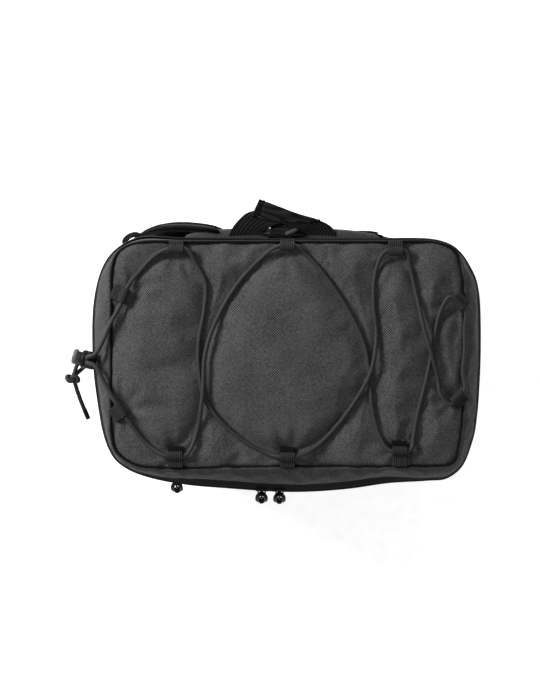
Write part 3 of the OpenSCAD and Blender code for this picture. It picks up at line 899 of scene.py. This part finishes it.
def body_rows(count=58):
    """Rings of points round the body from the zip down to the base, sagging a little."""
    rows = []
    flatter = (1 - ease((zip_edge[:, 1] - 96) / 24)) * (1 - 0.8 * front_share)
    for t in np.linspace(0, 1, count):
        z = body_high + (body_low - body_high) * t
        belly = 3 * math.sin(math.pi * t) ** 2 + 2.5 * math.exp(-(((t - 0.72) / 0.16) ** 2))
        shrink = 1 - 0.017 * t
        row = raised_to(zip_edge * shrink, z) + out_dir * (belly * flatter)[:, None]
        arc = arc_y - np.sqrt((front_r + 0.6) ** 2 - row[:, 0] ** 2)
        flush = ease((150 - np.abs(row[:, 0])) / 16) * ease((body_high - 4 - z) / 14)
        row[:, 1] += flush * (row[:, 1] < 0) * (arc - row[:, 1])
        rows.append(row)
    return np.array(rows)


def body_panel(name, start, stop, node, material, rows):
    """One panel of the body between two upright seams, swollen with its edges held."""
    first, last = round(start * edge_count), round(stop * edge_count)
    pick = np.arange(first, last + 1) % edge_count
    part = rows[:, pick]
    n, m = part.shape[:2]
    flat = part.reshape(-1, 3)
    outs = np.tile(out_dir[pick], (n, 1))
    a, b = np.meshgrid(np.linspace(0, 1, n), np.linspace(0, 1, m), indexing="ij")
    fade = (np.sin(math.pi * a) * np.sin(math.pi * b)).ravel() ** 0.5
    is_back = ease((flat[:, 1] - 90) / 30)
    behind_pocket = (np.abs(flat[:, 0]) < 138) & (flat[:, 2] > 82) & (flat[:, 1] < 0)
    is_back = np.maximum(is_back, behind_pocket)
    folds = 1.6 * ripple(flat * (1, 1, 0.6), 70) + 0.8 * ripple(flat * (1, 1, 2.2) + 50, 48)
    flat = flat + outs * (folds * fade * (1 - is_back))[:, None]
    obj = grid(name, flat.reshape(n, m, 3), material)
    hold = np.zeros((n, m))
    hold[:5] = 1
    hold[-1] = 1
    hold[:, [0, -1]] = 1
    hold = np.maximum(hold.ravel(), is_back)
    billow(obj, hold, 1.2, 4)
    thicken(obj, 3)
    done(obj, "pack", "pack_cloth", node)


body = body_rows()
# The side panels take the darker copy of the pack cloth, with painted shade
body_panel("side_panel_left_cloth", back_corner, front_corner, "side_panel_left", CLOTH_SHADED, body)
body_panel("front_panel_cloth", front_corner, 1 - front_corner, "front_panel", CLOTH, body)
body_panel("side_panel_right_cloth", 1 - front_corner, 1 - back_corner, "side_panel_right",
           CLOTH_SHADED, body)
body_panel("back_panel_mesh", 1 - back_corner, 1 + back_corner, "back_panel", MESH, body)
for k, share in enumerate((back_corner, front_corner, 1 - front_corner, 1 - back_corner)):
    column = round(share * edge_count) % edge_count
    line = body[3:, column] + out_dir[column] * 0.6
    done(tube(f"upright_piping_{k + 1}", line, 1.7, BINDING, 8), "pack", "binding")
    beside = [body[4:, (column + s * 2) % edge_count] + out_dir[column] * 0.4 for s in (-1, 1)]
    done(stitches(f"upright_stitches_{k + 1}", beside, [out_dir[column]] * 2, THREAD), "pack",
         "binding")

hinged = np.where(zip_edge[:, 1] > 111)[0]
order = np.argsort(-zip_edge[hinged, 0])
hinged = hinged[order]
hinge_rows = [raised_to(zip_edge[hinged], z) + out_dir[hinged] * (0.2 + 0.5 * math.sin(k * 0.9))
              for k, z in enumerate(np.linspace(tape_top + 1, zip_z - 14, 10))]
hinge = thicken(grid("hinge_binding_cloth", hinge_rows, BINDING), 1.0)
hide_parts("hinge_binding")
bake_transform(hinge)

base_line = body[-1] + out_dir * 1.2 + (0, 0, 2.4)
done(tube("base_piping_round", base_line, 2.2, BINDING, 10, closed=True), "pack", "binding",
     "base_piping")
base_rows = [body[-7] + out_dir * 0.5, body[-7] + out_dir * 0.5 + (0, 0, -2)]
done(stitches("base_stitches", [np.vstack([base_rows[0], base_rows[0][:1]])],
              [np.vstack([out_dir, out_dir[:1]])], THREAD), "pack", "binding")

# Front pocket --------------------------------------------------------------------------------

def on_front(across, out, z):
    """A point `across` mm round the front's arc, `out` mm outside the wall."""
    a = np.asarray(across) / front_r
    r = front_r + np.asarray(out)
    z = np.broadcast_to(z, np.shape(a))
    return np.column_stack([r * np.sin(a), arc_y - r * np.cos(a), z])


def rounded_box(x0, x1, y0, y1, r):
    """A flat outline with round corners, anticlockwise."""
    made = []
    for cx, cy, start in ((x1 - r, y0 + r, -90), (x1 - r, y1 - r, 0), (x0 + r, y1 - r, 90),
                          (x0 + r, y0 + r, 180)):
        for a in np.linspace(start, start + 90, 9):
            made.append((cx + r * math.cos(math.radians(a)), cy + r * math.sin(math.radians(a))))
    return np.array(made)


def pocket():
    """The front pocket: a gathered panel that stands out from the body, full towards the base."""
    outline = rounded_box(-125, 125, 94, 392, 26)
    points, faces, rim = painted_shade(outline, 5)
    d = distance(points, np.vstack([outline, outline[:1]]))
    full = np.sqrt(1 - (1 - np.clip(d / 30, 0, 1)) ** 2)
    load = np.interp(points[:, 1], (94, 130, 200, 300, 392), (13, 15, 12, 5, 1))
    flat = np.column_stack([points, np.zeros(len(points))])
    out = 2.4 + load * full + 0.9 * full * (ripple(flat, 60) + 0.8 * ripple(flat + 40, 22))
    obj = make("pocket_cloth", on_front(points[:, 0], out, points[:, 1]), faces, CLOTH,
               flat_uvs(points, faces))
    hold = np.zeros(len(points))
    hold[:rim] = 1
    billow(obj, hold, 1.2, 2)
    thicken(obj, 1.6)
    done(obj, "pack", "pack_cloth", "pocket_panel", "pocket_gusset")
    edge = even(np.vstack([outline, outline[:1]]), 3, closed=True)
    seam = tube("pocket_piping", on_front(edge[:, 0], 2.6, edge[:, 1]), 1.9, BINDING, 8,
                closed=True)
    done(seam, "pack", "binding")


pocket()

pocket_zip = 401
wide = np.linspace(-125, 125, 64)
rows = [on_front(wide, 2.4, z) for z in np.linspace(pocket_zip - 7, pocket_zip + 7, 5)]
done(thicken(grid("pocket_zip_tape_woven", rows, TAPE), 0.8), "pack", "zip_tape",
     "pocket_zip_tape")
coil = teeth("pocket_zip_coil", on_front(wide, 2.2, pocket_zip - 0.9))
done(coil, "pack", "zip_coil", "pocket_zip_teeth")
coil = teeth("pocket_zip_coil_upper", on_front(wide, 2.2, pocket_zip + 0.9), phase=1.2)
done(coil, "pack", "zip_coil")
for z in (pocket_zip - 8.5, pocket_zip + 8.5):
    line = on_front(wide, 2.4, z)
    done(tube(f"pocket_zip_fold_{z:g}".replace(".", "_"), line, 1.3, CLOTH, 8), "pack",
         "pack_cloth")

# Sliders and pulls ---------------------------------------------------------------------------


def pull(name, node, body, length):
    """A ring on the slider's bar, with a loop of thin cord and a moulded end."""
    low, high = (np.array(c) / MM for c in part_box(node))
    top = np.array([(low[0] + high[0]) / 2, low[1] + 3, high[2] - 3])
    ring = circle(3.1, 20)
    ring_line = np.column_stack([np.full(20, top[0]), top[1] + ring[:, 0], top[2] + ring[:, 1] - 1])
    done(tube(f"{name}_ring", ring_line, 0.8, METAL, 8, closed=True), body, "slider_metal", node)
    loop = curve([(0, 2.2, -2), (-3.6, -0.6, -3), (-4.4, -3.6, -7), (-3.6, -6, -length + 8),
                  (0, -6.4, -length + 3), (3.6, -6, -length + 8), (4.4, -3.6, -7),
                  (3.6, -0.6, -3)], 1, closed=True)
    done(tube(f"{name}_cord", top + loop, 2.1, PULL_CORD, 10, closed=True), body, "pull")
    grip = lathe(f"{name}_grip", [(0, 1.4), (0.6, 2.8), (3, 3.6), (6, 3.6), (8.4, 2.8), (9, 1.4)],
                 top + (0, -6.4, -length + 9), (0, 0, -1), PLASTIC, 20)
    done(grip, body, "pull")


pull("main_pull_left_looped", "main_pull_left", "pull_left", 24)
pull("main_pull_right_looped", "main_pull_right", "pull_right", 24)
pull("pocket_pull_looped", "pocket_pull", "pocket_pull", 22)

# Haul handle ---------------------------------------------------------------------------------


def ribbed(name, outer, inner, material, ribs, thick):
    """Webbing between two edges that run side by side, with ribs along it."""
    count = 90
    a = smooth(outer)[np.linspace(0, 16 * (len(outer) - 1), count).astype(int)]
    b = smooth(inner)[np.linspace(0, 16 * (len(inner) - 1), count).astype(int)]
    share = np.linspace(0, 1, ribs * 6 + 1)
    rows = a[:, None] + (b - a)[:, None] * share[None, :, None]
    along = np.vstack([rows[1:, 0], rows[-1:, 0]]) - np.vstack([rows[:1, 0], rows[:-1, 0]])
    normal = unit(np.cross(b - a, along))
    normal *= np.sign(normal[count // 2, 2])
    relief = 0.42 * (0.5 - 0.5 * np.cos(2 * math.pi * ribs * share))
    rows = rows + normal[:, None] * relief[None, :, None]
    return thicken(grid(name, rows, material), thick, 0)


handle_outer = [(-60, 127.6, 398), (-60.4, 127.8, 416), (-60.4, 129.4, 427), (-56, 139, 431),
                (-48, 148.5, 432), (-42, 153.5, 432.6), (-32, 156.5, 433), (-8, 156, 433.4),
                (20, 148, 433), (32, 146.5, 432), (39, 144, 431.4), (46.4, 139, 430.4),
                (52, 129.4, 427), (52, 127.8, 416), (51, 127.6, 398)]
handle_inner = [(-28, 127.6, 398), (-27.5, 127.8, 416), (-27, 129.6, 427), (-24, 135.7, 430),
                (-19, 139, 432), (-15.5, 141, 433), (-11, 142.6, 433.5), (-5, 143.9, 434),
                (1, 141.5, 433.5), (6, 138.4, 432.5), (9, 136.2, 431.5), (11.5, 134.6, 430),
                (16.3, 129.6, 427), (16.6, 127.8, 416), (17, 127.6, 398)]
handle = ribbed("haul_handle_webbing", handle_outer, handle_inner, WEBBING, 11, 2.2)
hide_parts("haul_handle", "handle_anchors")
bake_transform(handle)
grip_outer = [(-27.7, 168, 434.6), (-8, 160.4, 435.8), (12, 152.8, 435.4), (34, 146.6, 433.6)]
grip_inner = [(-36, 150, 435.4), (-14, 146, 435.6), (8, 144.6, 435), (33, 145.4, 433.4)]
done(ribbed("haul_handle_grip", grip_outer, grip_inner, WEBBING, 8, 1.8), "handle", "webbing")

under_outer = [(-15, 145, 431), (-4, 147, 431), (6, 144, 431), (14, 137, 431)]
under_inner = [(-19, 128, 431), (-8, 128, 431), (4, 128, 431), (15, 128, 431)]
done(ribbed("haul_handle_under", under_outer, under_inner, WEBBING, 5, 1.4), "pack", "webbing")
bar = curve([(-27, 132, 437), (-12, 130.5, 439), (4, 130.5, 439), (17, 131.5, 438)], 2)
done(tube("handle_keeper", bar, 1.4, BINDING, 8), "pack", "binding")
thumb = curve([(-2, 132, 436), (4, 134, 436.5), (11, 137, 436)], 1)
end = np.sqrt(np.clip(1 - np.linspace(-1, 1, len(thumb)) ** 4, 0.05, 1))
rolled = sweep("handle_roll_end", thumb, circle(1, 14) * end[:, None, None] * 2.7, STRAP_CLOTH)
done(rolled, "pack", "strap_cloth")

# Yoke, straps and back -----------------------------------------------------------------------


def yoke():
    """The padded yoke between the straps, thickest in the middle and thin at its ends."""
    x = np.linspace(-106, 97, 70)
    middle, half = -6, 103
    bulk = (1 - np.abs((x - middle) / half) ** 3.2) ** 0.5
    bulk[[0, -1]] = 0.1
    thick = 2.5 + 11.5 * np.clip(bulk, 0, 1)
    high = 46 - 10 * (1 - np.clip(bulk, 0, 1))
    a = np.linspace(0, 2 * math.pi, 40, endpoint=False)
    cy = np.sign(np.sin(a)) * np.abs(np.sin(a)) ** 0.6
    cz = np.sign(np.cos(a)) * np.abs(np.cos(a)) ** 0.35
    rows = np.array([np.column_stack([np.full(40, px), back_y + 0.6 + t / 2 * (1 + cy),
                                      407 + h / 2 * cz])
                     for px, t, h in zip(x, thick, high)])
    flat = rows.reshape(-1, 3)
    swell = 0.7 * ripple(flat, 30) * (flat[:, 1] > back_y + 3)
    flat = flat + np.array([0, 1, 0.3]) * swell[:, None]
    obj = grid("yoke_padded", flat.reshape(rows.shape), STRAP_CLOTH, around=True, ends=True)
    done(obj, "pack", "strap_cloth", "yoke_pad")


yoke()


def on_back(points, height):
    """Flat (x, z) points on the back, raised outward."""
    out = np.broadcast_to(back_y + 0.4 + height, len(points))
    return np.column_stack([points[:, 0], out, points[:, 1]])


def back_cushion(name, node, bars):
    """A mesh-covered cushion on the back, with sewn channels across it at the given heights."""
    low, high = (np.array(c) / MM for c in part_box(node))
    outline = rounded_box(low[0], high[0], low[2], high[2], 15)
    lines = [np.array([(low[0], z), (high[0], z)]) for z in bars]
    obj = cushion(name, outline, high[1] - low[1] + 1.5, on_back, MESH, edge=14, seams=lines)
    done(obj, "pack", "spacer_mesh", node)
    rim = even(np.vstack([outline, outline[:1]]), 3, closed=True)
    edge = tube(f"{name}_binding", on_back(rim, 1.0), 1.3, BINDING, 8, closed=True)
    done(edge, "pack", "binding")


for side in ("left", "right"):
    back_cushion(f"back_cushion_{side}", f"back_pad_{side}", (183, 246, 309))
back_cushion("lumbar_cushion", "lumbar_pad", (76,))

PAD_LEFT = [(-67, 134, 404), (-84, 139, 403), (-104, 141, 392), (-121, 138, 366),
            (-132, 134, 330), (-141, 133, 270), (-146, 133, 210), (-149, 133, 160)]
PAD_RIGHT = [(71, 134, 374), (73, 134, 335), (79, 134, 300), (92, 133, 264), (114, 133, 230),
             (135, 133, 200), (144, 133, 160)]


def strap(side, points, x_high, x_low):
    """A shoulder strap: padded cloth, its mesh facing, bound edges, and webbing below."""
    body_name = f"strap_{side}"
    path = curve(points, 5)
    n = len(path)
    t = np.linspace(0, 1, n)
    end = np.clip(np.minimum(t, 1 - t) * 22, 0, 1)
    width = 60 * (0.55 + 0.45 * np.sqrt(1 - (1 - end) ** 2))
    sections = []
    for w, share in zip(width, t):
        lump = 1 + 0.05 * math.sin(share * 40)
        sections.append(strip(w - 2, 8.4 * lump))
    pad = sweep(f"strap_{side}_padded", path, np.array(sections), STRAP_CLOTH, ups=(0, 1, 0))
    done(pad, body_name, "strap_cloth", f"strap_pad_{side}")
    facing = sweep(f"strap_{side}_mesh", path + (0, 4.4, 0),
                   np.array([strip(w - 9, 2.6) for w in width]), MESH, ups=(0, 1, 0))
    done(facing, body_name, "spacer_mesh", f"strap_mesh_{side}")
    _, across, up = frames_along(path, (0, 1, 0))
    half = (width / 2 - 1)[:, None]
    rim = np.vstack([path + across * half, (path - across * half)[::-1]])
    edge = tube(f"strap_{side}_binding", even(rim, 4), 1.9, BINDING, 8, closed=True)
    done(edge, body_name, "binding")
    inset = (width / 2 - 5)[:, None]
    rows = [path + across * inset + up * -4.1, path - across * inset + up * -4.1]
    thread = stitches(f"strap_{side}_stitches", rows, [(0, -1, 0)] * 2, THREAD)
    done(thread, body_name, "binding")
    ladder = curve([(x_high, 130, 176), (x_high, 129, 160), (x_high, 131, 148),
                    (x_high, 129.4, 134), ((x_high + x_low) / 2, 129.6, 90),
                    (x_low, 130, 46), (x_low, 127.6, 30)], 4)
    web = sweep(f"strap_{side}_webbing", ladder, strip(25, 1.5, 9, 0.2), WEBBING, ups=(0, 1, 0))
    done(web, body_name, "webbing", f"strap_webbing_{side}")


strap("left", PAD_LEFT, -150, -154)
strap("right", PAD_RIGHT, 146, 154)

# CAD pieces that stay, softened at their edges and given their finishes -----------------------


def keep(material, *names, round_edge=0.0):
    """Gives CAD nodes a finish, and rounds their edges."""
    for name in names:
        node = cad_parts[name]
        node.data.materials.clear()
        node.data.materials.append(material)
        layer = node.data.uv_layers.new(name="weave")
        at = np.zeros(len(node.data.loops), int)
        node.data.loops.foreach_get("vertex_index", at)
        points = coords(node)[at] * MM
        spread = np.ptp(points, axis=0)
        keep_axes = np.sort(np.argsort(spread)[1:])
        layer.data.foreach_set("uv", points[:, keep_axes].ravel())
        if round_edge:
            bevel = node.modifiers.new("edges", "BEVEL")
            bevel.width = round_edge * MM
            bevel.segments = 2
            bevel.limit_method = "ANGLE"


keep(BASE_CLOTH, "base_panel", round_edge=1.2)
keep(BOARD, "base_board")
keep(SHEET, "frame_sheet")
keep(FOAM, "back_foam")
keep(WEBBING, "strap_tabs", round_edge=0.4)
tab_line = curve([(-166, 123, 433), (-165.5, 126.5, 434), (-160, 131, 435), (-154, 132, 435),
                  (-148.5, 128.5, 434), (-148, 125.6, 433)], 1)
done(sweep("corner_tab_folded", tab_line, strip(6, 2.2, 2, 0.2), WEBBING, ups=(0, 0.4, 1)),
     "pack", "webbing", "corner_tab")
keep(PLASTIC, "strap_buckle_left", "strap_buckle_right", round_edge=0.8)
keep(METAL, "main_slider_left", "main_slider_right", "pocket_slider", round_edge=0.5)

# Floor ---------------------------------------------------------------------------------------

floor_finish = moulded("floor_paper", 0.8, 0.9)
lit = floor_finish.node_tree.nodes["Principled BSDF"]
lit.inputs["Emission Color"].default_value = (1, 1, 1, 1)
lit.inputs["Emission Strength"].default_value = 0.72
floor = make("floor", [(-4000, -4000, 0), (4000, -4000, 0), (4000, 4000, 0), (-4000, 4000, 0)],
             [(0, 1, 2, 3)], floor_finish, [(0, 0)] * 4)
